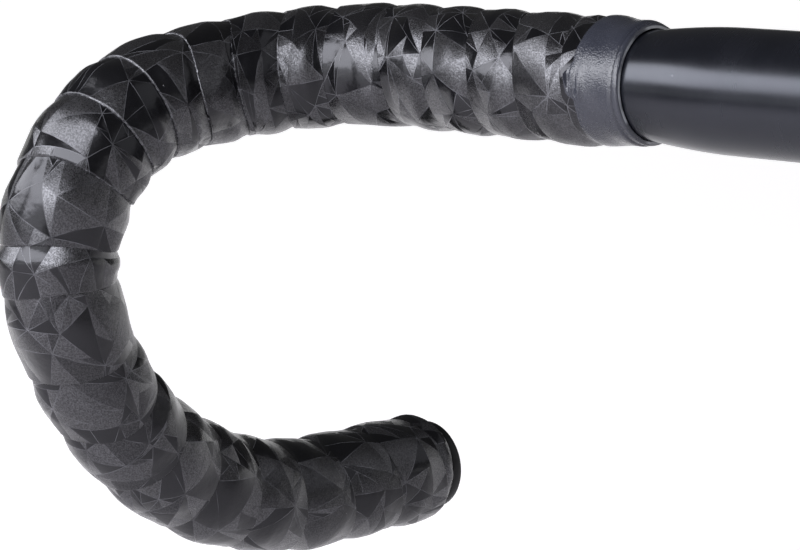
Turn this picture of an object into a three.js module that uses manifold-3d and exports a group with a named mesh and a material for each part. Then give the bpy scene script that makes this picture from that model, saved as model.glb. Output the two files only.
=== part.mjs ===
// Wound handlebar tape: the right-hand side of a drop handlebar with its tape, finishing strip and end plug.
// Units are millimetres. The origin is on the bar's centreline at the bicycle's middle plane.
// +X runs out along the tops to the rider's right, +Y runs forwards, +Z is up.

import * as THREE from "three";
import { mergeVertices } from "three/addons/utils/BufferGeometryUtils.js";
import Module from "manifold-3d";

const wasm = await Module();
wasm.setup();

// Handlebar: the tube
const clampDiameter = 31.8;
const gripDiameter = 23.8;
const wallThickness = 2;
const clampRun = 55; // full clamp diameter, from the middle plane
const taperRun = 55; // from the clamp diameter down to the grip diameter

// Handlebar: the centreline, run by run from the middle plane to the bar's end. Angles are in degrees.
const topsRun = 165.6;
const cornerRadius = 44.4;
const cornerAngle = 87;
const rampDip = 2.2; // how far the ramp points down
const rampRun = 8.6;
const upperHookRadius = 41.7;
const upperHookAngle = 100;
const lowerHookRadius = 108;
const lowerHookAngle = 71.3;
const dropRun = 44;
const flareAngle = 8; // the drop leans outwards

// Tape: how thick it lies on the bar, along one turn
const crownThickness = 5.4; // the padded middle
const edgeThickness = 4.7; // the edge, where it lies on the turn before
const valleyThickness = 4.1; // the turn before, where it comes out from under that edge
const edgeWidth = 0.6; // how far the face of the edge runs along the bar
const taperShare = 0.25; // how much of the bar's taper still shows through the tape

// Tape: drawn taut and thin round the front of the hook
const tautMiddle = 335;
const tautReach = 65; // to each side of that place
const tautThinning = 1.1;

// Tape: its two ends
const tapeStart = 85.6; // along the tops, under the finishing strip
const squeezedThickness = 1.1; // under the finishing strip
const swellRun = 3.2; // beside the strip, where it swells out again
const endRound = 3.9; // where it turns round the bar's end
const tuckDepth = 9; // folded into the bar's end
const tuckThickness = 1.4;

// Tape: how far each turn advances along the bar, from the tops to the bar's end. Turns lie closer together
// on the ramp and the upper hook, as tape is wound round a tight bend. The last advance goes on to the end.
const firstTurn = 82.3; // where the first turn counted here begins, on the bar's left
const advances = [
  { turns: 5, advance: 16 },
  { turns: 1, advance: 27 },
  { turns: 2, advance: 19.5 },
  { turns: 1, advance: 14.1 },
  { turns: 2, advance: 11.3 },
  { turns: 1, advance: 13.7 },
  { turns: 1, advance: 17.1 },
  { turns: 1, advance: 11.1 },
  { turns: 1, advance: 25 },
  { turns: 1, advance: 20.8 },
  { turns: 2, advance: 18.2 },
  { turns: 1, advance: 20 },
];

// Tape: how the edges of its turns lie on the bar's left, where they show. Wound round the bends, they lie
// more square across that side than a plain helix does, and step over to the next turn on the far side.
// A lead shifts them along the bar above and below that side.
const showingAngle = 10; // the middle of that side, in degrees above the bar's left
const slants = [
  { at: 92, square: 0, lead: 0 },
  { at: 120, square: 0, lead: 4 },
  { at: 160, square: 0, lead: 4 },
  { at: 190, square: 0.85, lead: -2.5 },
  { at: 231, square: 0.85, lead: -10.5 },
  { at: 262, square: 0.85, lead: 0 },
  { at: 306, square: 0.85, lead: 2.5 },
  { at: 330, square: 0.85, lead: -1 },
  { at: 356, square: 0.85, lead: -4 },
  { at: 410, square: 0, lead: 0 },
];

// Finishing strip
const stripStart = 81.3; // its edge beside the bare bar
const stripWidth = 18.4;
const stripThickness = 0.8; // all its turns together
const shoulderRun = 2.4; // where it curls down over the tape's end

// End plug
const flangeOverhang = 0.2; // past the flat end of the tape
const flangeThickness = 2.6;
const flangeRound = 1.2;
const barrelLength = 20;
const barrelWall = 1.8;
const ribCount = 4;
const ribHeight = 0.2;
const ribSpacing = 3;

// Fit
const gap = 0.3; // between two pieces that touch

// Fineness of the meshes
const aroundBar = 28; // points round the bar
const aroundRound = 40; // points round the finishing strip and the end plug
const tightStep = 8; // degrees of a tight bend between stations
const longStep = 6; // the same for a long bend
const taperSteps = 6;
const roundSteps = 4; // for a rounded edge

const degrees = Math.PI / 180;

// The centreline
// Each run keeps where it starts, and a frame: its X points along the bar, and its Y to the left of that.
const runs = [];
let routeLength = 0;
let routePoint = new THREE.Vector3();
let routeFrame = new THREE.Quaternion();

function addStraight(length) {
  runs.push({ from: routeLength, length, point: routePoint.clone(), frame: routeFrame.clone(), steps: 1 });
  routePoint.add(new THREE.Vector3(length, 0, 0).applyQuaternion(routeFrame));
  routeLength += length;
}

// A bend turns about an axis given in the run's own frame.
function addBend(radius, angle, ownAxis, step) {
  const axis = ownAxis.clone().applyQuaternion(routeFrame).normalize();
  const along = new THREE.Vector3(1, 0, 0).applyQuaternion(routeFrame);
  const centre = routePoint.clone().addScaledVector(axis.clone().cross(along), radius);
  const length = radius * angle * degrees;
  const steps = Math.ceil(angle / step);
  const bend = { centre, axis, radius };
  runs.push({ from: routeLength, length, point: routePoint.clone(), frame: routeFrame.clone(), steps, bend });
  const turn = new THREE.Quaternion().setFromAxisAngle(axis, angle * degrees);
  routePoint = routePoint.clone().sub(centre).applyQuaternion(turn).add(centre);
  routeFrame = turn.multiply(routeFrame);
  routeLength += length;
}

const dip = rampDip * degrees;
const flare = flareAngle * degrees;
const cornerAxis = new THREE.Vector3(0, Math.sin(dip), Math.cos(dip));
const hookAxis = new THREE.Vector3(0, Math.cos(flare), -Math.sin(flare));
addStraight(topsRun);
addBend(cornerRadius, cornerAngle, cornerAxis, tightStep);
addStraight(rampRun);
addBend(upperHookRadius, upperHookAngle, hookAxis, tightStep);
addBend(lowerHookRadius, lowerHookAngle, hookAxis, longStep);
addStraight(dropRun);
const barEnd = routeLength;

// Point and frame at a distance along the bar. Past either end the bar's line goes straight on.
function placeAt(distance) {
  let run = runs[0];
  for (const next of runs) if (distance >= next.from) run = next;
  const past = distance - run.from;
  if (!run.bend) {
    const point = new THREE.Vector3(past, 0, 0).applyQuaternion(run.frame).add(run.point);
    return { point, frame: run.frame.clone() };
  }
  const { centre, axis, radius } = run.bend;
  const turn = new THREE.Quaternion().setFromAxisAngle(axis, past / radius);
  const point = run.point.clone().sub(centre).applyQuaternion(turn).add(centre);
  return { point, frame: turn.clone().multiply(run.frame) };
}

// A point at a radius from the centreline. The angle starts at the frame's left and turns about the bar.
function skinPoint(distance, angle, radius) {
  const { point, frame } = placeAt(distance);
  const out = new THREE.Vector3(0, Math.cos(angle), Math.sin(angle)).applyQuaternion(frame);
  return point.addScaledVector(out, radius);
}

// Distances along the bar that its shape needs, between two distances
function stationsBetween(from, to) {
  const marks = [from, to];
  for (const run of runs)
    for (let k = 0; k <= run.steps; k++) marks.push(run.from + (run.length * k) / run.steps);
  for (let k = 0; k <= taperSteps; k++) marks.push(clampRun + (taperRun * k) / taperSteps);
  const inside = marks.filter((mark) => mark >= from && mark <= to).sort((a, b) => a - b);
  return inside.filter((mark, k) => k === 0 || mark - inside[k - 1] > 0.01);
}

// The bar's outside radius, with an eased taper beyond the clamp
function barRadius(distance) {
  const t = THREE.MathUtils.clamp((distance - clampRun) / taperRun, 0, 1);
  const eased = t * t * (3 - 2 * t);
  return THREE.MathUtils.lerp(clampDiameter, gripDiameter, eased) / 2;
}

const boreRadius = gripDiameter / 2 - wallThickness;

// Mesh building
// Rings of points, each ring joined to the next. A closed section also joins its last ring to its first.
function ringsToGeometry(rings, closedSection) {
  const around = rings[0].length;
  const positions = rings.flat().flatMap((p) => [p.x, p.y, p.z]);
  const index = [];
  const last = closedSection ? rings.length : rings.length - 1;
  for (let i = 0; i < last; i++)
    for (let j = 0; j < around; j++) {
      const a = i * around + j;
      const b = i * around + ((j + 1) % around);
      const c = ((i + 1) % rings.length) * around + j;
      const d = ((i + 1) % rings.length) * around + ((j + 1) % around);
      index.push(a, b, d, a, d, c);
    }
  if (!closedSection) {
    const start = positions.length / 3;
    const ends = [rings[0], rings[rings.length - 1]];
    for (const ring of ends) {
      const middle = ring.reduce((sum, p) => sum.add(p), new THREE.Vector3()).divideScalar(around);
      positions.push(middle.x, middle.y, middle.z);
    }
    const lastRing = (rings.length - 1) * around;
    for (let j = 0; j < around; j++) {
      const next = (j + 1) % around;
      index.push(start, next, j, start + 1, lastRing + j, lastRing + next);
    }
  }
  return indexedGeometry(positions, index);
}

function indexedGeometry(positions, index) {
  const geometry = new THREE.BufferGeometry();
  geometry.setAttribute("position", new THREE.Float32BufferAttribute(positions, 3));
  geometry.setIndex(index);
  return geometry;
}

function ringAt(distance, radius, around = aroundBar) {
  const ring = [];
  for (let j = 0; j < around; j++) ring.push(skinPoint(distance, (2 * Math.PI * j) / around, radius));
  return ring;
}

// A section of [distance, radius] points carried round the bar's centreline
function turnedSection(section, closed, around = aroundBar) {
  return ringsToGeometry(section.map(([distance, radius]) => ringAt(distance, radius, around)), closed);
}

function toSolid(geometry) {
  const positionOnly = new THREE.BufferGeometry();
  positionOnly.setAttribute("position", geometry.getAttribute("position"));
  if (geometry.index) positionOnly.setIndex(geometry.index);
  const merged = mergeVertices(positionOnly, 1e-4);
  const vertProperties = merged.getAttribute("position").array;
  const triVerts = new Uint32Array(merged.index.array);
  return new wasm.Manifold(new wasm.Mesh({ numProp: 3, vertProperties, triVerts }));
}

function toGeometry(solid) {
  const { vertProperties, triVerts } = solid.getMesh();
  const geometry = new THREE.BufferGeometry();
  geometry.setAttribute("position", new THREE.BufferAttribute(vertProperties, 3));
  geometry.setIndex(new THREE.BufferAttribute(triVerts, 1));
  return geometry;
}

function makeMesh(name, geometry, finish) {
  const flat = geometry.index ? geometry.toNonIndexed() : geometry;
  flat.computeVertexNormals();
  const mesh = new THREE.Mesh(flat, new THREE.MeshStandardMaterial(finish));
  mesh.name = name;
  return mesh;
}

// Handlebar
function buildHandlebar() {
  const outside = stationsBetween(0, barEnd).map((s) => [s, barRadius(s)]);
  const inside = outside.map(([s, radius]) => [s, radius - wallThickness]).reverse();
  const geometry = turnedSection([...outside, ...inside], true);
  return makeMesh("handlebar", geometry, { color: "#15161b", roughness: 0.42, metalness: 0.55 });
}

// Tape
const gripRadius = gripDiameter / 2;
const blockReach = 60; // how far a cutting block runs on past what it cuts
const blockRadius = 26; // clear of the winding

// The radius that the tape's thickness counts from
function tapeBase(distance) {
  return gripRadius + taperShare * (barRadius(distance) - gripRadius);
}

// How much thinner the tape lies where it is drawn taut
function tautness(distance) {
  const t = THREE.MathUtils.clamp((distance - tautMiddle) / tautReach, -1, 1);
  return tautThinning * (1 - t * t) ** 2;
}

// Where along the bar each whole turn begins, from two turns before the first to past the bar's end
const leadAdvance = advances[0].advance;
const lastAdvance = advances[advances.length - 1].advance;
const turnStarts = [firstTurn - 2 * leadAdvance, firstTurn - leadAdvance, firstTurn];
for (const { turns, advance } of advances)
  for (let k = 0; k < turns; k++) turnStarts.push(turnStarts[turnStarts.length - 1] + advance);
while (turnStarts[turnStarts.length - 1] < barEnd + 4 * lastAdvance)
  turnStarts.push(turnStarts[turnStarts.length - 1] + lastAdvance);

// Distance along the bar at a number of turns, on a smooth curve through the starts of the turns
function distanceAtTurn(turn) {
  const k = THREE.MathUtils.clamp(Math.floor(turn), 1, turnStarts.length - 3);
  const t = turn - k;
  const [a, b, c, d] = turnStarts.slice(k - 1, k + 3);
  return b + (t * (c - a) + t * t * (2 * a - 5 * b + 4 * c - d) + t * t * t * (3 * b - a - 3 * c + d)) / 2;
}

// How far a place on the winding lies along the bar from where a plain helix has it
function slantAt(turn, round) {
  const distance = distanceAtTurn(turn);
  const advance = distanceAtTurn(turn + 0.5) - distanceAtTurn(turn - 0.5);
  const last = slants.findLast((slant) => slant.at <= distance) ?? slants[0];
  const next = slants.find((slant) => slant.at > distance) ?? last;
  const t = next === last ? 0 : THREE.MathUtils.smoothstep(distance, last.at, next.at);
  const square = THREE.MathUtils.lerp(last.square, next.square, t);
  const lead = THREE.MathUtils.lerp(last.lead, next.lead, t);
  const across = Math.sin(2 * Math.PI * round - showingAngle * degrees);
  return lead * across * across - (square * advance * across) / 4;
}

// The tape's outside along one advance: share of the advance, and thickness there
function turnProfile(advance) {
  const edge = edgeWidth / advance;
  return [
    [0, valleyThickness],
    [0.22, THREE.MathUtils.lerp(valleyThickness, crownThickness, 0.65)],
    [0.55, crownThickness],
    [1 - 3 * edge, THREE.MathUtils.lerp(edgeThickness, crownThickness, 0.4)],
    [1 - edge, edgeThickness],
  ];
}

// The winding before its ends are cut: a right-handed helix, slanted as above. Each line of the grid is one point of the
// profile carried once round the bar, and where it ends the same line of the next turn begins, so the
// edge of every turn is clean.
function windingSolid() {
  const positions = [];
  const index = [];
  const perTurn = turnProfile(1).length;
  const turns = turnStarts.length - 4;
  for (let turn = 0; turn < turns; turn++)
    for (const [share, thickness] of turnProfile(turnStarts[turn + 1] - turnStarts[turn]))
      for (let j = 0; j < aroundBar; j++) {
        const round = j / aroundBar;
        const place = turn + share + round;
        const distance = distanceAtTurn(place) + slantAt(place, round);
        const angle = 2 * Math.PI * round;
        const point = skinPoint(distance, angle, tapeBase(distance) + thickness - tautness(distance));
        positions.push(point.x, point.y, point.z);
      }
  const at = (line, j) => (j < aroundBar ? line * aroundBar + j : (line + perTurn) * aroundBar);
  const lastLine = (turns - 1) * perTurn - 1;
  for (let line = 0; line < lastLine; line++)
    for (let j = 0; j < aroundBar; j++) {
      const [a, b] = [at(line, j), at(line, j + 1)];
      const [c, d] = [at(line + 1, j), at(line + 1, j + 1)];
      index.push(a, b, d, a, d, c);
    }
  // Each end is closed by a fan to the centreline. Its rim goes once round, and back along one turn.
  for (const line of [0, lastLine]) {
    const rim = [];
    for (let j = 0; j < aroundBar; j++) rim.push(at(line, j));
    for (let back = perTurn; back > 0; back--) rim.push(at(line + back, 0));
    const middle = placeAt(distanceAtTurn(line / perTurn + 0.5)).point;
    const centre = positions.length / 3;
    positions.push(middle.x, middle.y, middle.z);
    rim.forEach((p, k) => {
      const q = rim[(k + 1) % rim.length];
      if (line === 0) index.push(centre, q, p);
      else index.push(centre, p, q);
    });
  }
  return toSolid(indexedGeometry(positions, index));
}

// Points of a quarter ellipse in a section: it leaves `from` along the bar and reaches `to` across it
function quarterRound(from, to) {
  const points = [];
  for (let k = 0; k <= roundSteps; k++) {
    const angle = ((k / roundSteps) * Math.PI) / 2;
    points.push([
      from[0] + (to[0] - from[0]) * Math.sin(angle),
      from[1] + (to[1] - from[1]) * (1 - Math.cos(angle)),
    ]);
  }
  return points;
}

const tapeEnd = barEnd + gap + tuckThickness; // outer face of the fold over the bar's end
const foldRadius = boreRadius - gap; // outside of the tucked tape
const squeezedRadius = barRadius(tapeStart) + gap + squeezedThickness;
const stripEnd = stripStart + stripWidth;

function buildTape() {
  // Cut flat at the start
  const startBlock = turnedSection([[tapeStart - blockReach, blockRadius], [tapeStart, blockRadius]], false);
  // Squeezed under the finishing strip, and swelling out beside it
  const swellStart = [stripEnd + gap, squeezedRadius];
  const swellEnd = [stripEnd + gap + swellRun, tapeBase(stripEnd) + crownThickness];
  const squeeze = [
    ...quarterRound(swellEnd, swellStart),
    [tapeStart - blockReach, squeezedRadius],
    [tapeStart - blockReach, blockRadius],
    [swellEnd[0], blockRadius],
  ];
  // Rounded over the bar's end
  const endRadius = gripRadius + crownThickness;
  const endBlock = [
    ...quarterRound([tapeEnd - endRound, endRadius], [tapeEnd, endRadius - endRound]).reverse(),
    [tapeEnd - endRound, blockRadius],
    [tapeEnd + blockReach, blockRadius],
  ];
  // Room for the bar, up to the fold, and for its wall within the fold
  const foldStart = barEnd - tuckDepth;
  const before = stationsBetween(tapeStart - 2 * gap, foldStart).map((s) => [s, barRadius(s) + gap]);
  const wall = [
    [foldStart - gap, gripRadius + gap],
    [barEnd + gap, gripRadius + gap],
    [barEnd + gap, foldRadius],
    [foldStart - gap, foldRadius],
  ];
  // Room for the plug's barrel, through the fold
  const through = [[foldStart - gap, foldRadius - tuckThickness], [tapeEnd + gap, foldRadius - tuckThickness]];
  const solid = [
    startBlock,
    turnedSection(squeeze, true),
    turnedSection(endBlock, false),
    turnedSection(before, false),
    turnedSection(wall, true),
    turnedSection(through, false),
  ].reduce((rest, cutter) => rest.subtract(toSolid(cutter)), windingSolid());
  return makeMesh("bar_tape", toGeometry(solid), { color: "#26272b", roughness: 0.5, metalness: 0 });
}

// Finishing strip: it lies on the squeezed tape and curls down over the tape's end to the bar
function buildFinishingStrip() {
  const inner = squeezedRadius + gap;
  const outer = inner + stripThickness;
  const onBar = barRadius(stripStart) + gap;
  const section = [
    ...quarterRound([stripStart + shoulderRun, outer], [stripStart, onBar + stripThickness]).reverse(),
    [stripEnd, outer],
    [stripEnd, inner],
    [tapeStart - gap, inner],
    [tapeStart - gap, onBar],
    [stripStart, onBar],
  ];
  const geometry = turnedSection(section, true, aroundRound);
  return makeMesh("finishing_strip", geometry, { color: "#3c3e48", roughness: 0.4, metalness: 0 });
}

// End plug: a flange, and a ribbed barrel open at its inner end
function buildEndPlug() {
  const back = tapeEnd + gap;
  const face = back + flangeThickness;
  const rim = gripRadius + crownThickness - endRound + flangeOverhang;
  const crest = foldRadius - tuckThickness - gap;
  const barrel = crest - ribHeight;
  const tip = barEnd - barrelLength;
  const ribs = [];
  for (let k = 0; k < ribCount; k++) {
    const place = tip + ribSpacing * (k + 1);
    ribs.push([place - ribSpacing / 3, barrel], [place, crest], [place, barrel]);
  }
  const section = [
    [back, barrel - barrelWall],
    [tip, barrel - barrelWall],
    [tip, barrel],
    ...ribs,
    [back, barrel],
    [back, rim],
    ...quarterRound([face - flangeRound, rim], [face, rim - flangeRound]),
  ];
  const geometry = turnedSection(section, false, aroundRound);
  return makeMesh("end_plug", geometry, { color: "#0f1012", roughness: 0.55, metalness: 0 });
}

const part = new THREE.Group();
part.name = "wound_handlebar_tape";
part.add(buildHandlebar(), buildTape(), buildFinishingStrip(), buildEndPlug());

export default part;
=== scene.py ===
"""Looks for a drop handlebar's right-hand side, wound with padded black tape."""

import math
import random

import bpy
import numpy as np
from mathutils import Matrix, Vector
from mathutils.geometry import delaunay_2d_cdt


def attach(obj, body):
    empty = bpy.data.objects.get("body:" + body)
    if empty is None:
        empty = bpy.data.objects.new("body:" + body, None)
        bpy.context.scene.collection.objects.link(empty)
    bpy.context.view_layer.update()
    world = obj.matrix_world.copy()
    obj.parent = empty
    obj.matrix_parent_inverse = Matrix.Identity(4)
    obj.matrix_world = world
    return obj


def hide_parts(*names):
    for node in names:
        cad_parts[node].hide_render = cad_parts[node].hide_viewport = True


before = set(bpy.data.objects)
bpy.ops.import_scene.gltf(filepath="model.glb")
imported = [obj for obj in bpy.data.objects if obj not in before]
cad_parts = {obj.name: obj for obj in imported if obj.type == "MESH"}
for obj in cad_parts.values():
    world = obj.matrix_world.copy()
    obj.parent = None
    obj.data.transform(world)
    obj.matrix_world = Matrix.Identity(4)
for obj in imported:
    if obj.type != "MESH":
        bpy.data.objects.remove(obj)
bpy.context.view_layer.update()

MM = 0.001  # the sizes below are in millimetres, as in the CAD source
rng = random.Random(7)

# The bar's own sizes, as in the CAD source
CLAMP_DIAMETER = 31.8
GRIP_DIAMETER = 23.8
WALL = 2.0
CLAMP_RUN = 55.0
TAPER_RUN = 55.0
TOPS_RUN = 165.6
CORNER_RADIUS = 44.4
CORNER_ANGLE = 87.0
RAMP_DIP = 2.2
RAMP_RUN = 8.6
UPPER_HOOK_RADIUS = 41.7
UPPER_HOOK_ANGLE = 100.0
LOWER_HOOK_RADIUS = 108.0
LOWER_HOOK_ANGLE = 71.3
DROP_RUN = 44.0
FLARE = 8.0

# The tape's sizes, as in the CAD source where no comment says otherwise
CROWN = 5.4
EDGE = 4.7
VALLEY = 4.1
TAPER_SHARE = 0.25
TAUT_MIDDLE = 335.0
TAUT_REACH = 65.0
TAUT_THINNING = 1.1
TAPE_START = 85.6
SQUEEZED = 1.1
SWELL_RUN = 3.2
END_ROUND = 4.6  # rounder than the solid's end, which is 3.9
TUCK = 1.4
FIRST_TURN = 82.3
ADVANCES = [(5, 16.0), (1, 27.0), (2, 19.5), (1, 14.1), (2, 11.3), (1, 13.7), (1, 17.1), (1, 11.1)]
ADVANCES += [(1, 25.0), (1, 20.8), (2, 18.2), (1, 20.0)]
SHOWING = math.radians(10)  # the middle of the side that shows, from the bar's left
# How the turns' edges lie on the bar: at distances along it, how square to it they are on the side
# that shows, and how far ahead they lie a quarter turn above and below the middle of that side
SLANT_AT = [92, 120, 160, 190, 231, 262, 306, 330, 356, 410]
SLANT_SQUARE = [0, 0, 0, 0.85, 0.85, 0.85, 0.85, 0.85, 0.85, 0]
SLANT_LEAD = [0, 4, 4, -2.5, -10.5, 0, 2.5, -1, -4, 0]
GAP = 0.3

# The finishing strip and the plug, as in the CAD source where no comment says otherwise
STRIP_START = 81.3
STRIP_WIDTH = 16.9  # a little less than the solid's 18.4
FLANGE_LIP = 1.3  # past the flat end of the tape, where the solid's is 0.2 past a smaller rounding
FLANGE_THICKNESS = 2.6
FLANGE_ROUND = 1.2
BARREL_LENGTH = 20.0
BARREL_WALL = 1.8
FACE_BACK = 1.3  # how far the tape's folded end stays back from where the solid's end is
FACE_OUT = 0.5  # how far the middle of the flange's face stands out past the solid's


# The bar's centreline
def turn_matrix(axis, angle):
    return np.array(Matrix.Rotation(angle, 3, Vector(axis)))


class Route:
    """The bar's centreline: straight runs and bends, with a frame carried along them."""

    def __init__(self):
        self.runs = []
        self.length = 0.0
        self.point = np.zeros(3)
        self.frame = np.eye(3)

    def straight(self, length):
        self.runs.append((self.length, self.point, self.frame, None))
        self.point = self.point + self.frame[:, 0] * length
        self.length += length

    def bend(self, radius, degrees, own_axis):
        axis = self.frame @ np.array(own_axis)
        axis = axis / np.linalg.norm(axis)
        centre = self.point + radius * np.cross(axis, self.frame[:, 0])
        self.runs.append((self.length, self.point, self.frame, (centre, axis, radius)))
        turn = turn_matrix(axis, math.radians(degrees))
        self.point = centre + turn @ (self.point - centre)
        self.frame = turn @ self.frame
        self.length += radius * math.radians(degrees)

    def place(self, distance):
        """Points and frames at an array of distances. Both ends go straight on."""
        distance = np.asarray(distance, float)
        points = np.zeros(distance.shape + (3,))
        frames = np.zeros(distance.shape + (3, 3))
        starts = [run[0] for run in self.runs]
        which = np.clip(np.searchsorted(starts, distance, side="right") - 1, 0, len(starts) - 1)
        for k, (start, point, base, bend) in enumerate(self.runs):
            here = which == k
            past = distance[here] - start
            if bend is None:
                points[here] = point + past[:, None] * base[:, 0]
                frames[here] = base
                continue
            centre, axis, radius = bend
            cross = np.array([[0, -axis[2], axis[1]], [axis[2], 0, -axis[0]], [-axis[1], axis[0], 0]])
            angle = past / radius
            turn = (
                np.eye(3)
                + np.sin(angle)[:, None, None] * cross
                + (1 - np.cos(angle))[:, None, None] * (cross @ cross)
            )
            points[here] = centre + turn @ (point - centre)
            frames[here] = turn @ base
        return points, frames

    def skin(self, distance, angle, radius):
        """Points at a radius from the centreline, with the angle counted from the frame's left."""
        points, frames = self.place(distance)
        out = np.cos(angle)[..., None] * frames[..., :, 1] + np.sin(angle)[..., None] * frames[..., :, 2]
        return points + out * np.asarray(radius)[..., None]


route = Route()
dip, flare = math.radians(RAMP_DIP), math.radians(FLARE)
hook_axis = (0, math.cos(flare), -math.sin(flare))
route.straight(TOPS_RUN)
route.bend(CORNER_RADIUS, CORNER_ANGLE, (0, math.sin(dip), math.cos(dip)))
route.straight(RAMP_RUN)
route.bend(UPPER_HOOK_RADIUS, UPPER_HOOK_ANGLE, hook_axis)
route.bend(LOWER_HOOK_RADIUS, LOWER_HOOK_ANGLE, hook_axis)
route.straight(DROP_RUN)
BAR_END = route.length
GRIP_RADIUS = GRIP_DIAMETER / 2
BORE_RADIUS = GRIP_RADIUS - WALL


def smooth(t):
    """Eases from 0 to 1."""
    t = np.clip(t, 0, 1)
    return t * t * (3 - 2 * t)


def bar_radius(distance):
    eased = smooth((np.asarray(distance, float) - CLAMP_RUN) / TAPER_RUN)
    return (CLAMP_DIAMETER + (GRIP_DIAMETER - CLAMP_DIAMETER) * eased) / 2


# Meshes
def mesh_object(name, points, faces):
    """A new smooth-shaded object from points in millimetres."""
    mesh = bpy.data.meshes.new(name)
    mesh.from_pydata((np.asarray(points) * MM).tolist(), [], faces)
    mesh.validate()
    mesh.polygons.foreach_set("use_smooth", [True] * len(mesh.polygons))
    mesh.update()
    piece = bpy.data.objects.new(name, mesh)
    bpy.context.scene.collection.objects.link(piece)
    return piece


def grid_faces(rows, columns, wrap_rows=False):
    """Quads of a grid whose points run along the columns first. The columns close on themselves."""
    faces = []
    for i in range(rows if wrap_rows else rows - 1):
        for j in range(columns):
            a, b = i * columns + j, i * columns + (j + 1) % columns
            c, d = ((i + 1) % rows) * columns + j, ((i + 1) % rows) * columns + (j + 1) % columns
            faces.append((a, b, d, c))
    return faces


def turned(name, section, around, closed):
    """A section of (distance, radius) carried round the bar's line. An open section is capped."""
    section = np.array(section, float)
    angle = np.linspace(0, 2 * math.pi, around, endpoint=False)
    distance = np.repeat(section[:, 0], around)
    radius = np.repeat(section[:, 1], around)
    points = route.skin(distance, np.tile(angle, len(section)), radius)
    faces = grid_faces(len(section), around, wrap_rows=closed)
    if not closed:
        last = (len(section) - 1) * around
        faces.append(tuple(reversed(range(around))))
        faces.append(tuple(range(last, last + around)))
    return mesh_object(name, points, faces)


SIDES = 96  # points round a turned piece


def stations(start, end, step):
    return np.linspace(start, end, max(2, int(math.ceil((end - start) / step)) + 1))


# Handlebar
def build_bar():
    station_step, chamfer = 3.0, 0.35
    outside = [(s, float(bar_radius(s))) for s in stations(0, BAR_END, station_step)]
    first_radius = outside[0][1]
    outside = [(0.0, first_radius - chamfer), (chamfer, first_radius)] + outside[1:]
    inside = [(s, r - WALL) for s, r in outside[1:]][::-1]
    inside += [(0.0, first_radius - WALL)]
    return turned("bar_tube", outside + inside, SIDES, True)


# The winding
def turn_starts():
    lead, tail = ADVANCES[0][1], ADVANCES[-1][1]
    starts = [FIRST_TURN - 2 * lead, FIRST_TURN - lead, FIRST_TURN]
    for turns, advance in ADVANCES:
        for _ in range(turns):
            starts.append(starts[-1] + advance)
    while starts[-1] < BAR_END + 4 * tail:
        starts.append(starts[-1] + tail)
    return np.array(starts)


STARTS = turn_starts()


def distance_at(turn):
    turn = np.asarray(turn, float)
    k = np.clip(np.floor(turn).astype(int), 1, len(STARTS) - 3)
    t = turn - k
    a, b, c, d = STARTS[k - 1], STARTS[k], STARTS[k + 1], STARTS[k + 2]
    cubic = t * (c - a) + t**2 * (2 * a - 5 * b + 4 * c - d) + t**3 * (3 * b - a - 3 * c + d)
    return b + cubic / 2


def turn_at(distance):
    """The turn at which the winding reaches a distance."""
    low, high = 0.0, float(len(STARTS) - 2)
    for _ in range(50):
        middle = (low + high) / 2
        if distance_at(middle) < distance:
            low = middle
        else:
            high = middle
    return low


TAPE_END = BAR_END + GAP + TUCK
TAPE_FACE = TAPE_END - FACE_BACK
ROUND_FROM = TAPE_FACE - END_ROUND
FOLD_INNER = BORE_RADIUS - GAP - TUCK
CIRCUMFERENCE = 2 * math.pi * (GRIP_RADIUS + CROWN)
HIDDEN = 3.5  # how far a turn runs on under the edge of its neighbour
HIDDEN_THICKNESS = 0.45  # how thick it is there, pressed flat
EDGE_FACE = 0.9  # height of the tape's own edge
EDGE_ROUND = 0.45
FACE_WANDER = 0.22  # how far the turns' edges stray from their line
FACE_WAVES = 0.07  # how much the padding varies in thickness
STRIP_CLEAR = 0.8  # where the tape begins to swell, past the strip's outer edge


def advance_at(turn):
    return distance_at(turn + 1) - distance_at(turn)


def slant_at(turn, angle):
    """How far a place on the winding lies along the bar from where a plain helix has it."""
    distance = distance_at(turn)
    advance = distance_at(turn + 0.5) - distance_at(turn - 0.5)
    k = np.clip(np.searchsorted(SLANT_AT, distance, side="right") - 1, 0, len(SLANT_AT) - 2)
    at, square, lead = (np.array(v, float) for v in (SLANT_AT, SLANT_SQUARE, SLANT_LEAD))
    t = smooth((distance - at[k]) / (at[k + 1] - at[k]))
    across = np.sin(angle - SHOWING)
    lead_here = lead[k] + (lead[k + 1] - lead[k]) * t
    square_here = square[k] + (square[k + 1] - square[k]) * t
    return lead_here * across**2 - square_here * advance * across / 4


def wave(seed, x, lengths, total):
    """A smooth random wave along the tape, between about -1 and 1."""
    own = random.Random(seed)
    value = np.zeros_like(np.asarray(x, float))
    for length in lengths:
        value += np.sin(2 * math.pi * (np.asarray(x) / length + own.random())) * (0.6 + 0.8 * own.random())
    return value / total


def strip_rise(distance):
    """How far the finishing strip rises towards its outer edge, as the tape swells beneath it."""
    x = (np.asarray(distance, float) - STRIP_START) / STRIP_WIDTH
    return 0.30 + 0.85 * smooth((x - 0.3) / 0.45)


# How far the finishing strip's outer edge lies from its inner one, at angles round the bar in degrees
EDGE_ANGLES = (-180, -130, -80, -45, -15, 10, 40, 75, 120, 180)
EDGE_PLACES = (15.0, 13.9, 13.2, 12.6, 12.2, 12.9, 14.1, 14.0, 14.8, 15.0)


def strip_edge(angle):
    """The finishing strip's outer edge, at an angle round the bar."""
    facing = (np.degrees(angle) + 180) % 360 - 180
    return STRIP_START + np.interp(facing, EDGE_ANGLES, EDGE_PLACES)


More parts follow.
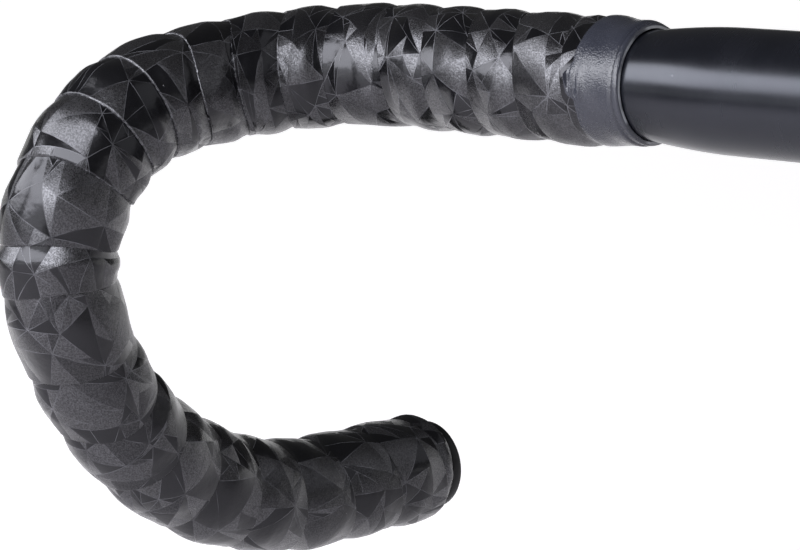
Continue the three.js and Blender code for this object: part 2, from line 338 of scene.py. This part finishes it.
def tape_surface(x, w):
    """Maps the flat tape to the wound one.

    x runs along the tape, in millimetres of circumference. w is the distance in from its leading edge,
    which faces the bar's end. Below 0 it goes down the tape's own edge.
    """
    turn = x / CIRCUMFERENCE
    advance = advance_at(turn)
    inside = np.clip(w, 0, None)
    share = 1 - inside / advance
    wander = FACE_WANDER * wave(3, x, (61.0, 37.0, 23.0), 2.2) * smooth(1 - inside / 6)
    distance = distance_at(turn + share) + slant_at(turn + share, 2 * math.pi * turn) + wander
    # Thickness over one advance
    rise = smooth((share + 0.06) / 0.46)
    fall = smooth((share - 0.5) / 0.5)
    thick = VALLEY + (CROWN - VALLEY) * rise - (CROWN - EDGE) * fall
    thick += FACE_WAVES * wave(5, x + 40 * share, (47.0, 29.0, 17.0), 2.0)
    under = smooth(-share * advance / HIDDEN)
    thick = thick * (1 - under) + HIDDEN_THICKNESS * under
    # The leading edge is rounded, then drops to the turn before
    corner = np.clip(1 - inside / EDGE_ROUND, 0, 1)
    thick = thick - EDGE_ROUND * (1 - np.sqrt(np.clip(1 - corner**2, 0, 1)))
    thick = thick - np.clip(-w, 0, None)
    base = GRIP_RADIUS + TAPER_SHARE * (bar_radius(distance) - GRIP_RADIUS)
    taut = np.clip((distance - TAUT_MIDDLE) / TAUT_REACH, -1, 1)
    radius = base + thick - TAUT_THINNING * (1 - taut**2) ** 2
    # Squeezed under the finishing strip, swelling out beside it
    squeezed = float(bar_radius(TAPE_START)) + GAP + SQUEEZED + strip_rise(distance)
    strip_end = strip_edge(2 * math.pi * turn) + STRIP_CLEAR
    swell = smooth((distance - strip_end) / SWELL_RUN)
    limit = squeezed + (radius - squeezed) * swell
    radius = np.where(distance < strip_end + SWELL_RUN, np.minimum(radius, np.maximum(limit, 0)), radius)
    # Turned over the bar's end and in towards the plug
    past = np.clip(distance - ROUND_FROM, 0, None)
    angle = np.clip(past / END_ROUND, 0, math.pi / 2)
    flat = np.clip(past - END_ROUND * math.pi / 2, 0, None)
    along = np.where(past > 0, ROUND_FROM + END_ROUND * np.sin(angle), distance)
    radius = radius - END_ROUND * (1 - np.cos(angle)) - flat
    return route.skin(along, 2 * math.pi * turn, radius)


FOLD_REACH = END_ROUND * math.pi / 2 + (GRIP_RADIUS + EDGE - END_ROUND - FOLD_INNER) - 0.4
TURN_FIRST = turn_at(TAPE_START)
TURN_LAST = turn_at(ROUND_FROM + FOLD_REACH)


def facet_triangles(x_low, x_high, w_low, w_high, spacing):
    """Random triangles over a flat strip: a triangulation of scattered points, some split again."""
    points = []
    rows = int(math.ceil((w_high - w_low) / (spacing * 0.8))) + 3
    columns = int(math.ceil((x_high - x_low) / spacing)) + 3
    for i in range(rows):
        for j in range(columns):
            x = x_low + (j - 1 + 0.5 * (i % 2)) * spacing + rng.uniform(-0.42, 0.42) * spacing
            w = w_low + (i - 1) * spacing * 0.8 + rng.uniform(-0.4, 0.4) * spacing
            points.append(Vector((x, w)))
    verts, _, faces, *_ = delaunay_2d_cdt(points, [], [], 0, 1e-5)
    triangles = []
    for face in faces:
        triangle = [np.array(verts[k]) for k in face]
        triangles += split_triangle(triangle, 2)
    return triangles


def split_triangle(triangle, times):
    """Cuts a triangle from a corner to the far side, at random."""
    if times == 0 or rng.random() < 0.45:
        return [triangle]
    sides = [np.linalg.norm(triangle[(k + 2) % 3] - triangle[(k + 1) % 3]) for k in range(3)]
    k = int(np.argmax(sides)) if rng.random() < 0.7 else rng.randrange(3)
    a, b, c = triangle[k], triangle[(k + 1) % 3], triangle[(k + 2) % 3]
    cut = b + (c - b) * rng.uniform(0.3, 0.7)
    return split_triangle([a, b, cut], times - 1) + split_triangle([a, cut, c], times - 1)


def inset_triangle(triangle, width):
    """The triangle moved in by a width on each side, or None if it is too thin for that."""
    a, b, c = triangle
    area = (b[0] - a[0]) * (c[1] - a[1]) - (b[1] - a[1]) * (c[0] - a[0])
    if area < 0:
        a, b, c, area = a, c, b, -area
    sides = [np.linalg.norm(c - b), np.linalg.norm(a - c), np.linalg.norm(b - a)]
    inner_radius = area / sum(sides)
    if inner_radius < 3 * width:
        return None
    centre = (sides[0] * a + sides[1] * b + sides[2] * c) / sum(sides)
    keep = 1 - width / inner_radius
    return [centre + (p - centre) * keep for p in (a, b, c)]


FACET_SPACING = 12.5
LINE_WIDTH = 0.085  # half the width of the line between two facets
FACET_TILT = 0.22  # how far a facet leans the light, at most, in radians
MATTE_BELOW, HALF_MATTE_BELOW = 0.40, 0.58  # random draws from 0 to 1, one for each facet


def flat_tape():
    """The tape laid flat: a triangle mesh that follows its edges, its profile and its facets."""
    around = 56  # points to a turn
    step = CIRCUMFERENCE / around
    shares = [0.0, 0.08, 0.18, 0.3, 0.42, 0.55, 0.68, 0.8, 0.9]
    x_low = math.floor((TURN_FIRST - 1) * around) * step
    x_high = math.ceil((TURN_LAST + 0.5) * around) * step
    columns = int(round((x_high - x_low) / step)) + 1
    xs = x_low + step * np.arange(columns)
    advance = advance_at(xs / CIRCUMFERENCE)
    lines = [np.full(columns, w) for w in (-EDGE_FACE, -0.25, 0.0, 0.03, 0.1, 0.2, EDGE_ROUND)]
    lines += [np.maximum(advance * (1 - share), EDGE_ROUND + 0.4) for share in reversed(shares)]
    lines += [advance + 0.9, advance + 2.0, advance + HIDDEN]
    w_top = float(lines[-1].max())
    verts, edges, faces = [], [], []
    index = np.arange(len(lines) * columns).reshape(len(lines), columns)
    for line in lines:
        verts += [Vector((x, w)) for x, w in zip(xs, line)]
    for i in range(len(lines)):
        edges += [(int(index[i, j]), int(index[i, j + 1])) for j in range(columns - 1)]
    for i in range(len(lines) - 1):
        edges += [(int(index[i, j]), int(index[i + 1, j])) for j in range(columns)]
    # The two ends lie slanted across the flat tape, square across the bar
    for turn_end in (TURN_FIRST, TURN_LAST):
        ends = np.arange(turn_end - 1 - 0.06, turn_end + 0.45, 1 / around)
        start = len(verts)
        verts += [Vector((t * CIRCUMFERENCE, float(advance_at(t)) * (t + 1 - turn_end))) for t in ends]
        edges += [(start + k, start + k + 1) for k in range(len(ends) - 1)]
    # Facets, cut off where the tape ends
    facets = []
    for triangle in facet_triangles(x_low, x_high, -2.0, w_top, FACET_SPACING):
        inset = inset_triangle(triangle, LINE_WIDTH)
        if inset is None:
            continue
        start = len(verts)
        verts += [Vector((float(p[0]), float(p[1]))) for p in inset]
        faces.append((start, start + 1, start + 2))
        # Matte facets are paler and grainy, glossy ones black
        draw = rng.random()
        matte = 1.0 if draw < MATTE_BELOW else 0.45 if draw < HALF_MATTE_BELOW else 0.0
        facets.append((matte, rng.random(), rng.uniform(0, 2 * math.pi), rng.uniform(0.15, 1)))
    out_verts, _, out_faces, _, _, face_sources = delaunay_2d_cdt(verts, edges, faces, 0, 1e-6)
    flat = np.array([(v[0], v[1]) for v in out_verts])
    triangles = np.array([f for f in out_faces if len(f) == 3])
    sources = [s for f, s in zip(out_faces, face_sources) if len(f) == 3]
    centre = flat[triangles].mean(axis=1)
    turn = centre[:, 0] / CIRCUMFERENCE
    own_advance = advance_at(turn)
    bar_turn = turn + 1 - centre[:, 1] / own_advance
    keep = (
        (centre[:, 1] > -EDGE_FACE)
        & (centre[:, 1] < own_advance + HIDDEN)
        & (bar_turn > TURN_FIRST)
        & (bar_turn < TURN_LAST)
        & (centre[:, 0] > x_low)
        & (centre[:, 0] < x_high)
    )
    triangles = triangles[keep]
    sources = [s for s, k in zip(sources, keep) if k]
    used, inverse = np.unique(triangles, return_inverse=True)
    flat = flat[used]
    triangles = inverse.reshape(-1, 3)
    return flat, triangles, sources, facets


def boundary_chains(flat, triangles):
    """The edge of the flat tape as two chains along it, from its first point to its last."""
    directed = {(a, b) for t in triangles.tolist() for a, b in ((t[0], t[1]), (t[1], t[2]), (t[2], t[0]))}
    following = {p: q for p, q in directed if (q, p) not in directed}
    start = min(following, key=lambda k: flat[k, 0])
    end = max(following, key=lambda k: flat[k, 0])
    loop, here = [start], following[start]
    while here != start:
        loop.append(here)
        here = following[here]
    cut = loop.index(end)
    return loop[: cut + 1], [start] + loop[cut:][::-1]


def zip_chains(flat, first, second):
    """Triangles between two chains that share both ends, stepping along whichever lags behind."""
    faces, i, j = [], 0, 0
    while i + 1 < len(first) or j + 1 < len(second):
        step_first = j + 1 >= len(second) or (
            i + 1 < len(first) and flat[first[i + 1], 0] <= flat[second[j + 1], 0]
        )
        if step_first:
            face = (first[i], second[j], first[i + 1])
            i += 1
        else:
            face = (first[i], second[j], second[j + 1])
            j += 1
        if len(set(face)) == 3:
            faces.append(face)
    return faces


def build_tape():
    flat, triangles, sources, facets = flat_tape()
    points = tape_surface(flat[:, 0], flat[:, 1])
    small = 0.02
    sides = [
        tape_surface(flat[:, 0] + dx, flat[:, 1] + dw)
        for dx, dw in ((small, 0), (-small, 0), (0, small), (0, -small))
    ]
    normals = np.cross(sides[0] - sides[1], sides[2] - sides[3])
    normals /= np.linalg.norm(normals, axis=1)[:, None] + 1e-12
    triangles = triangles[:, ::-1]
    around_dir = sides[0] - sides[1]
    around_dir /= np.linalg.norm(around_dir, axis=1)[:, None] + 1e-12
    across_dir = np.cross(normals, around_dir)
    a, b, c = (points[triangles[:, k]] for k in range(3))
    if (np.cross(b - a, c - a) * normals[triangles[:, 0]]).sum() < 0:
        normals = -normals
    under = zip_chains(flat, *boundary_chains(flat, triangles[:, ::-1]))
    under_normal = []
    for p, q, r in under:
        normal = np.cross(points[q] - points[p], points[r] - points[p])
        under_normal.append(normal / (np.linalg.norm(normal) + 1e-12))
    faces = triangles.tolist() + [list(f) for f in under]
    mesh = bpy.data.meshes.new("wound_tape")
    mesh.from_pydata((points * MM).tolist(), [], faces)
    mesh.update()
    # What each facet looks like, and which faces are the lines between them
    look = np.zeros((len(faces), 4))
    tilt = np.zeros((len(triangles), 2))
    for k, source in enumerate(sources):
        if source:
            matte, vary, heading, amount = facets[source[0]]
            look[k] = (matte, vary, 0.0, 1.0)
            lean = FACET_TILT * amount
            tilt[k] = (lean * math.cos(heading), lean * math.sin(heading))
        else:
            look[k] = (0.0, 0.5, 1.0, 1.0)
    look[len(triangles) :] = (0.0, 0.5, 0.0, 1.0)
    attribute = mesh.attributes.new("facet_look", "FLOAT_COLOR", "FACE")
    attribute.data.foreach_set("color", look.ravel())
    loop_vertex = np.array(faces).ravel()
    uv = mesh.uv_layers.new(name="flat_tape")
    uv.data.foreach_set("uv", (flat[loop_vertex] * MM).ravel())
    corner = normals[triangles] + (
        tilt[:, None, :1] * around_dir[triangles] + tilt[:, None, 1:] * across_dir[triangles]
    )
    corner /= np.linalg.norm(corner, axis=2)[..., None]
    corners = np.concatenate([corner.reshape(-1, 3), np.repeat(np.array(under_normal), 3, axis=0)])
    mesh.polygons.foreach_set("use_smooth", [True] * len(faces))
    mesh.normals_split_custom_set(corners.tolist())
    piece = bpy.data.objects.new("wound_tape", mesh)
    bpy.context.scene.collection.objects.link(piece)
    return piece


# Finishing strip: nearly three turns of thin adhesive strip over the tape's end
STRIP_TURNS = 2.87
STRIP_LAYER = 0.24
STRIP_FIRST = math.radians(-150)  # where its first turn begins, round the bar
LIP_RUN = 1.5  # where it curls down to the bar
LIP_POWER = 2.6  # how squarely it does so
PUCKER = math.radians(12)  # the place round the bar where its outer edge is puckered
PUCKER_REACH = 2.6
PUCKER_RISE = 1.6  # how far the puckered edge climbs the tape beside it
SLACK_BELOW = 0.45  # how much closer the strip lies at the underside


def pucker_pull(facing):
    """How far the strip's outer edge is pulled out at the pucker, which is steeper on one side."""
    rising = smooth((facing + math.radians(20)) / math.radians(9))
    falling = smooth((math.radians(20) - facing) / math.radians(17))
    return PUCKER_REACH * rising * falling


def build_strip():
    inner = float(bar_radius(TAPE_START)) + 2 * GAP + SQUEEZED
    on_bar = float(bar_radius(STRIP_START)) + GAP
    around, across = 160, 44  # points round the bar and over the strip
    count = int(STRIP_TURNS * around) + 1
    rows = []
    for k in range(count):
        turned_by = k / around
        angle = STRIP_FIRST + 2 * math.pi * turned_by
        below = 0.5 - 0.5 * math.sin(angle)
        wander = 0.30 * math.sin(angle + 0.6) + 0.18 * math.sin(2.0 * angle + 1.9)
        facing = (angle - PUCKER + math.pi) % (2 * math.pi) - math.pi
        outermost = 1.0 if turned_by > STRIP_TURNS - 1.02 else 0.0
        pulled = float(pucker_pull(facing)) * outermost
        # The first turn shows beyond the later ones at the lower side, on both edges
        first = 1 - smooth((turned_by - 0.75) / 0.5)
        low = STRIP_START + 0.7 * (1 - first) + 0.3 * wander - 1.3 * first * below
        high = strip_edge(angle) + 1.4 * first * below - 0.2 * turned_by + pulled
        v = np.linspace(0, 1, across)
        v = v - 0.13 * np.sin(2 * math.pi * v)  # more points near both edges
        x = low + (high - low) * v
        t = np.clip((x - low) / LIP_RUN, 0, 1)
        curl = (1 - (1 - t) ** LIP_POWER) ** (1 / LIP_POWER)
        ground = on_bar + (inner + strip_rise(x) - on_bar) * curl
        ground = ground + PUCKER_RISE * smooth((x - strip_edge(angle) - STRIP_CLEAR) / SWELL_RUN)
        # Folds that run along the pulled edge, and slack waves elsewhere
        edge = x - (high - pulled)
        strength = (pulled / PUCKER_REACH) * smooth((edge + 3.4) / 2.2)
        folds = 0.34 * np.sin(2.6 * edge + 7.0 * facing) + 0.16 * np.sin(5.3 * edge - 12.0 * facing + 1.0)
        slack = 0.05 * np.sin(3 * angle + 0.35 * x) + 0.035 * np.sin(7 * angle - 0.8 * x)
        ground = ground + strength * (0.28 + folds) + slack * t
        lift = STRIP_LAYER * turned_by * (0.4 + 0.6 * t) - SLACK_BELOW * below * below * t
        round_off = 0.5 * STRIP_LAYER * (np.exp(-v * 70) + np.exp(-(1 - v) * 70))
        top = ground + lift + STRIP_LAYER * 0.92 - round_off
        bottom = ground + lift
        distance = np.concatenate([x, x[::-1]])
        radius = np.concatenate([top, bottom[::-1]])
        rows.append(route.skin(distance, np.full(distance.shape, angle), radius))
    columns = 2 * across
    faces = [tuple(reversed(f)) for f in grid_faces(count, columns)]
    faces.append(tuple(range(columns)))
    last = (count - 1) * columns
    faces.append(tuple(reversed(range(last, last + columns))))
    strip = mesh_object("grey_strip", np.concatenate(rows), faces)
    # The cut edge on the bar's side is marked, for a painted highlight along it in its material
    cut = np.zeros((count, columns), dtype=np.float32)
    cut[:, :2] = cut[:, -2:] = 1.0
    marks = strip.data.attributes.new("glint_edge", "FLOAT", "POINT")
    marks.data.foreach_set("value", cut.ravel())
    return strip


# Plug
RIBS = 4
RIB_SPACING = 3.0
RIB_HEIGHT = 0.2


def build_plug():
    back = TAPE_FACE + GAP
    face = TAPE_END + GAP + FLANGE_THICKNESS + FACE_OUT
    rim = GRIP_RADIUS + CROWN - END_ROUND + FLANGE_LIP
    barrel = FOLD_INNER - GAP
    tip = BAR_END - BARREL_LENGTH
    core = barrel - RIB_HEIGHT
    section = [(back, 0.4), (back, barrel - BARREL_WALL), (tip, barrel - BARREL_WALL), (tip, barrel - 0.4)]
    section += [(tip + 0.4, core)]
    for k in range(RIBS):
        rib = tip + RIB_SPACING * (k + 1)
        section += [(rib - 1.0, core), (rib, barrel), (rib + 0.02, core)]
    section += [(back, core), (back, rim - 0.25), (back + 0.25, rim)]
    # The flange's rounded rim, then a groove and a low dome on its face
    for k in range(7):
        angle = math.pi / 2 * k / 6
        reach = FLANGE_ROUND * math.sin(angle)
        section.append((face - 0.4 - FLANGE_ROUND + reach, rim - FLANGE_ROUND * (1 - math.cos(angle))))
    groove = rim - 3.4
    section += [(face - 0.2, groove + 0.9), (face - 0.2, groove + 0.3), (face - 0.55, groove + 0.1)]
    section += [(face - 0.55, groove - 0.3), (face - 0.12, groove - 0.5)]
    for share in (0.75, 0.5, 0.25, 0.05):
        section.append((face - 0.12 * share**2, (groove - 0.5) * share))
    return turned("plug_body", section, SIDES, False)


# Materials
class Nodes:
    """A short way to write a material's nodes."""

    def __init__(self, name):
        self.material = bpy.data.materials.new(name)
        self.material.use_nodes = True
        self.tree = self.material.node_tree
        self.shader = self.tree.nodes["Principled BSDF"]

    def add(self, kind, inputs=None, **settings):
        node = self.tree.nodes.new("ShaderNode" + kind)
        for key, value in settings.items():
            setattr(node, key, value)
        for key, value in (inputs or {}).items():
            self.set(node.inputs[key], value)
        return node

    def set(self, socket, value):
        if isinstance(value, bpy.types.NodeSocket):
            self.tree.links.new(value, socket)
        else:
            socket.default_value = value

    def math(self, operation, a, b=0.0, clamp=False):
        node = self.add("Math", {0: a, 1: b}, operation=operation, use_clamp=clamp)
        return node.outputs[0]

    def mix(self, factor, a, b):
        node = self.add("Mix", {"Factor": factor}, data_type="RGBA")
        self.set(node.inputs[6], a)
        self.set(node.inputs[7], b)
        return node.outputs[2]

    def noise(self, scale, detail=2.0, vector=None):
        if vector is None:
            vector = self.add("TexCoord").outputs["Object"]
        return self.add("TexNoise", {"Scale": scale, "Detail": detail, "Vector": vector}).outputs["Fac"]

    def ramp(self, factor, low, high, low_value=0.0, high_value=1.0):
        node = self.add("MapRange", {0: factor, 1: low, 2: high, 3: low_value, 4: high_value})
        return node.outputs[0]

    def bump(self, height, distance, strength=1.0):
        node = self.add("Bump", {"Height": height, "Distance": distance, "Strength": strength})
        self.set(self.shader.inputs["Normal"], node.outputs[0])

    def base(self, color, roughness, **sockets):
        self.set(self.shader.inputs["Base Color"], color)
        self.set(self.shader.inputs["Roughness"], roughness)
        for name, value in sockets.items():
            self.set(self.shader.inputs[name.replace("_", " ")], value)
        return self.material


def tape_material():
    n = Nodes("tape_faceted")
    facet = n.add("Attribute", attribute_name="facet_look")
    parts = n.add("SeparateColor", {0: facet.outputs["Color"]})
    matte, vary, line = parts.outputs
    flat_uv = n.add("UVMap", uv_map="flat_tape").outputs[0]
    across = n.add("SeparateXYZ", {0: flat_uv}).outputs["Y"]
    mottle = n.noise(80.0, 3.0)
    grain = n.noise(3200.0, 1.0)
    # The finish of each facet
    color = n.mix(matte, (0.0030, 0.0030, 0.0038, 1), (0.0100, 0.0096, 0.0104, 1))
    color = n.mix(n.ramp(mottle, 0.35, 0.7, 0.0, 0.35), color, (0.0065, 0.0062, 0.0067, 1))
    # Thin pale lines where facets meet, here and there rubbed away
    rubbed = n.ramp(n.noise(140.0, 2.0), 0.38, 0.6, 0.15, 1.0)
    color = n.mix(n.math("MULTIPLY", line, rubbed), color, (0.10, 0.10, 0.108, 1))
    # Painted highlight: a pale, broken line along the rounded leading edge of each turn, where it catches
    # the light
    broken_highlight = n.ramp(n.noise(1100.0, 2.0), 0.47, 0.63, 0.06, 1.0)
    near_edge = n.ramp(across, 0.0, 0.00022, 1.0, 0.0)
    above_face = n.ramp(across, -0.0004, -0.0001, 0.0, 1.0)
    edge = n.math("MULTIPLY", n.math("MULTIPLY", near_edge, above_face), broken_highlight)
    color = n.mix(edge, color, (0.15, 0.15, 0.16, 1))
    # A few specks of dust
    position = n.add("TexCoord").outputs["Object"]
    cells = n.add("TexVoronoi", {"Vector": position, "Scale": 170.0, "Randomness": 1.0})
    dust = n.ramp(cells.outputs["Distance"], 0.012, 0.030, 0.8, 0.0)
    color = n.mix(dust, color, (0.35, 0.35, 0.36, 1))
    roughness = n.math("ADD", n.ramp(matte, 0.0, 1.0, 0.20, 0.33), n.ramp(vary, 0.0, 1.0, -0.03, 0.05))
    speckle = n.math("MULTIPLY", n.ramp(grain, 0.3, 0.7, -0.12, 0.12), matte)
    roughness = n.math("ADD", roughness, speckle)
    fine = n.math("MULTIPLY", grain, n.ramp(matte, 0.0, 1.0, 0.12, 1.0))
    n.bump(n.math("ADD", fine, n.noise(500.0, 1.0)), 0.00009, 0.8)
    # The grain of the matte facets glints
    glint = n.ramp(n.noise(2300.0, 1.0), 0.38, 0.62, 0.5, 1.0)
    glint = n.math("MAXIMUM", glint, n.math("SUBTRACT", 1.0, matte))
    tint = n.add("CombineColor", {0: glint, 1: glint, 2: n.math("MULTIPLY", glint, 1.05)}).outputs[0]
    look = {"Specular_IOR_Level": n.ramp(matte, 0.0, 1.0, 0.36, 1.0), "Specular_Tint": tint}
    return n.base(color, roughness, IOR=1.6, **look)


def bar_material():
    n = Nodes("bar_satin_black")
    # Faint streaks round the tube, as polishing leaves them
    place = n.add("TexCoord").outputs["Object"]
    stretched = n.add("Mapping", {"Vector": place, "Scale": (1100.0, 70.0, 70.0)}).outputs[0]
    streaks = n.noise(1.0, 2.0, vector=stretched)
    cloud = n.noise(70.0, 3.0)
    cells = n.add("TexVoronoi", {"Vector": place, "Scale": 150.0})
    dust = n.ramp(cells.outputs["Distance"], 0.012, 0.030, 0.7, 0.0)
    color = n.mix(n.ramp(cloud, 0.35, 0.7), (0.0038, 0.0042, 0.0062, 1), (0.0058, 0.0062, 0.0088, 1))
    color = n.mix(dust, color, (0.3, 0.3, 0.32, 1))
    roughness = n.math("ADD", n.ramp(cloud, 0.3, 0.7, 0.23, 0.28), n.ramp(streaks, 0.3, 0.7, -0.012, 0.012))
    n.bump(streaks, 0.00001, 0.08)
    return n.base(color, roughness, Specular_IOR_Level=0.62, Specular_Tint=(0.86, 0.90, 1.0, 1))


def strip_material():
    n = Nodes("strip_slate")
    grain = n.noise(2600.0, 1.0)
    coarse = n.noise(520.0, 2.0)
    cloud = n.noise(120.0, 3.0)
    color = n.mix(n.ramp(cloud, 0.3, 0.7), (0.023, 0.025, 0.035, 1), (0.032, 0.034, 0.045, 1))
    # Painted highlight: a pale, broken line along the cut edge on the bar's side, where it catches the
    # light
    cut = n.add("Attribute", attribute_name="glint_edge").outputs["Fac"]
    edge_glint = n.math("MULTIPLY", cut, n.ramp(cloud, 0.4, 0.55, 0.1, 1.0))
    color = n.mix(edge_glint, color, (0.30, 0.31, 0.33, 1))
    roughness = n.math("ADD", n.ramp(coarse, 0.3, 0.7, 0.17, 0.25), n.ramp(grain, 0.3, 0.7, -0.07, 0.07))
    n.bump(n.math("ADD", grain, n.math("MULTIPLY", coarse, 0.5)), 0.00016, 0.8)
    return n.base(color, roughness, Specular_IOR_Level=0.7)


def plug_material():
    n = Nodes("plug_matte")
    grain = n.noise(1500.0, 3.0)
    cloud = n.noise(150.0, 2.0)
    color = n.mix(n.ramp(cloud, 0.3, 0.7), (0.0035, 0.0035, 0.004, 1), (0.006, 0.006, 0.0065, 1))
    n.bump(grain, 0.00003, 0.4)
    return n.base(color, n.ramp(grain, 0.3, 0.7, 0.36, 0.46), Specular_IOR_Level=0.35)


# Stage, light and camera, in metres up to the camera
FLOOR_Z = -0.26
FLOOR_HALF = 6.0
BACKDROP = (0.695, -0.719)  # the way the backdrop lies from the part
LIFT_NEAR, LIFT_BEHIND, LIFT_FAR = 0.10, 0.64, 0.30


def build_floor():
    mesh = bpy.data.meshes.new("floor")
    corners = [(x * FLOOR_HALF, y * FLOOR_HALF, FLOOR_Z) for x, y in ((-1, -1), (1, -1), (1, 1), (-1, 1))]
    mesh.from_pydata(corners, [], [(0, 1, 2, 3)])
    floor = bpy.data.objects.new("floor", mesh)
    bpy.context.scene.collection.objects.link(floor)
    n = Nodes("floor_pale")
    soft = n.noise(3.0, 2.0)
    position = n.add("SeparateXYZ", {0: n.add("TexCoord").outputs["Object"]})
    x, y, _ = position.outputs
    # Painted shade: to the left of the camera's view the pale floor slowly turns grey, and its lift with
    # it, so the part's left side reflects a darker studio
    left = n.math("ADD", n.math("MULTIPLY", x, -BACKDROP[1]), n.math("MULTIPLY", y, BACKDROP[0]))
    painted_shade_left = n.ramp(left, 0.6, 1.6, 1.0, 0.55)
    color = n.mix(n.ramp(soft, 0.3, 0.7), (0.67, 0.645, 0.66, 1), (0.69, 0.665, 0.68, 1))
    color = n.mix(painted_shade_left, (0.0, 0.0, 0.0, 1), color)
    n.base(color, 0.8, Specular_IOR_Level=0.1)
    # Camera, glossy and transmission rays see it lifted to the studio's white: all of it near the
    # part, and the backdrop's side of it far away
    path = n.add("LightPath")
    seen = n.math("ADD", path.outputs["Is Camera Ray"], path.outputs["Is Glossy Ray"])
    seen = n.math("ADD", seen, path.outputs["Is Transmission Ray"], clamp=True)
    away = n.math("ADD", n.math("MULTIPLY", x, BACKDROP[0]), n.math("MULTIPLY", y, BACKDROP[1]))
    squares = n.math("ADD", n.math("MULTIPLY", x, x), n.math("MULTIPLY", y, y))
    near = n.ramp(n.math("SQRT", squares), 0.25, 0.9, LIFT_NEAR, 0.0)
    behind = n.ramp(away, 0.05, 0.42, 0.0, LIFT_BEHIND)
    far = n.ramp(away, 0.42, 2.3, 0.0, LIFT_FAR)
    strength = n.math("MULTIPLY", seen, n.math("ADD", n.math("MAXIMUM", near, behind), far))
    strength = n.math("MULTIPLY", strength, painted_shade_left)
    lift = n.add("Emission", {"Color": (1, 1, 1, 1), "Strength": strength})
    both = n.add("AddShader", {0: n.shader.outputs[0], 1: lift.outputs[0]})
    output = n.tree.nodes["Material Output"]
    n.tree.links.new(both.outputs[0], output.inputs["Surface"])
    mesh.materials.append(n.material)


WORLD_LOW, WORLD_HIGH = 0.95, 0.07  # the studio is bright at the horizon and dark above it
HORIZON = 0.09  # the sine of the height at which it has turned dark


def build_world():
    world = bpy.data.worlds.new("studio")
    bpy.context.scene.world = world
    world.use_nodes = True
    tree = world.node_tree
    background = tree.nodes["Background"]
    coordinate = tree.nodes.new("ShaderNodeTexCoord")
    split = tree.nodes.new("ShaderNodeSeparateXYZ")
    tree.links.new(coordinate.outputs["Generated"], split.inputs[0])
    ramp = tree.nodes.new("ShaderNodeMapRange")
    ramp.interpolation_type = "SMOOTHSTEP"
    ramp.inputs[1].default_value = 0.0
    ramp.inputs[2].default_value = HORIZON
    ramp.inputs[3].default_value = WORLD_LOW
    ramp.inputs[4].default_value = WORLD_HIGH
    tree.links.new(split.outputs["Z"], ramp.inputs[0])
    tree.links.new(ramp.outputs[0], background.inputs["Strength"])
    background.inputs["Color"].default_value = (1, 1, 1, 1)


LAMP_COLOR = (0.93, 0.94, 1.0)
LAMPS_AIM = (0.15, 0.02, -0.05)  # the place that all the lamps face


def direction(azimuth, elevation):
    """The way to a place seen at these angles from the part, in degrees."""
    az, el = math.radians(azimuth), math.radians(elevation)
    return Vector((math.sin(az) * math.cos(el), -math.cos(az) * math.cos(el), math.sin(el)))


def area_light(name, azimuth, elevation, distance, size, power):
    light = bpy.data.lights.new(name, "AREA")
    light.color = LAMP_COLOR
    light.shape = "RECTANGLE"
    light.size, light.size_y = size
    light.energy = power
    lamp = bpy.data.objects.new(name, light)
    bpy.context.scene.collection.objects.link(lamp)
    away = direction(azimuth, elevation)
    lamp.location = Vector(LAMPS_AIM) + away * distance
    lamp.rotation_euler = away.to_track_quat("Z", "Y").to_euler()


# The camera, at the angle of the photograph, in millimetres
CAMERA_AZIMUTH = 224.23
CAMERA_ELEVATION = 14.22
CAMERA_ROLL = 4.39
CAMERA_DISTANCE = 677.8
FOCAL_PIXELS = 2468.0
IMAGE_WIDTH = 800
LOOK_AT = (157.0, 21.6, -54.1)
AIM_RIGHT, AIM_UP = 1.23, 0.12


def build_camera():
    back = direction(CAMERA_AZIMUTH, CAMERA_ELEVATION)
    right = (-back).cross(Vector((0, 0, 1))).normalized()
    up = right.cross(-back)
    turn = Matrix.Rotation(math.radians(CAMERA_ROLL), 3, -back)
    right, up = turn @ right, turn @ up
    target = Vector(LOOK_AT) + right * AIM_RIGHT + up * AIM_UP
    data = bpy.data.cameras.new("camera")
    data.sensor_width = 36.0
    data.lens = FOCAL_PIXELS * data.sensor_width / IMAGE_WIDTH
    data.clip_start = 0.01
    camera = bpy.data.objects.new("camera", data)
    place = Matrix((right, up, back)).transposed().to_4x4()
    place.translation = (target + back * CAMERA_DISTANCE) * MM
    camera.matrix_world = place
    bpy.context.scene.collection.objects.link(camera)
    bpy.context.scene.camera = camera


def dress(piece, node, material):
    piece.data.materials.clear()
    piece.data.materials.append(material)
    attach(piece, "root")
    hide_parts(node)


build_camera()
build_world()
build_floor()
area_light("front_box", 186, 31, 1.4, (1.5, 0.95), 31)
area_light("side_box", 132, 27, 1.4, (0.85, 0.62), 10)
area_light("right_fill", 308, 28, 1.6, (1.6, 1.2), 2.5)
area_light("low_box", 178, 2, 1.3, (1.0, 0.5), 2.2)

dress(build_bar(), "handlebar", bar_material())
dress(build_tape(), "bar_tape", tape_material())
dress(build_strip(), "finishing_strip", strip_material())
dress(build_plug(), "end_plug", plug_material())

scene = bpy.context.scene
scene.view_settings.view_transform = "Standard"
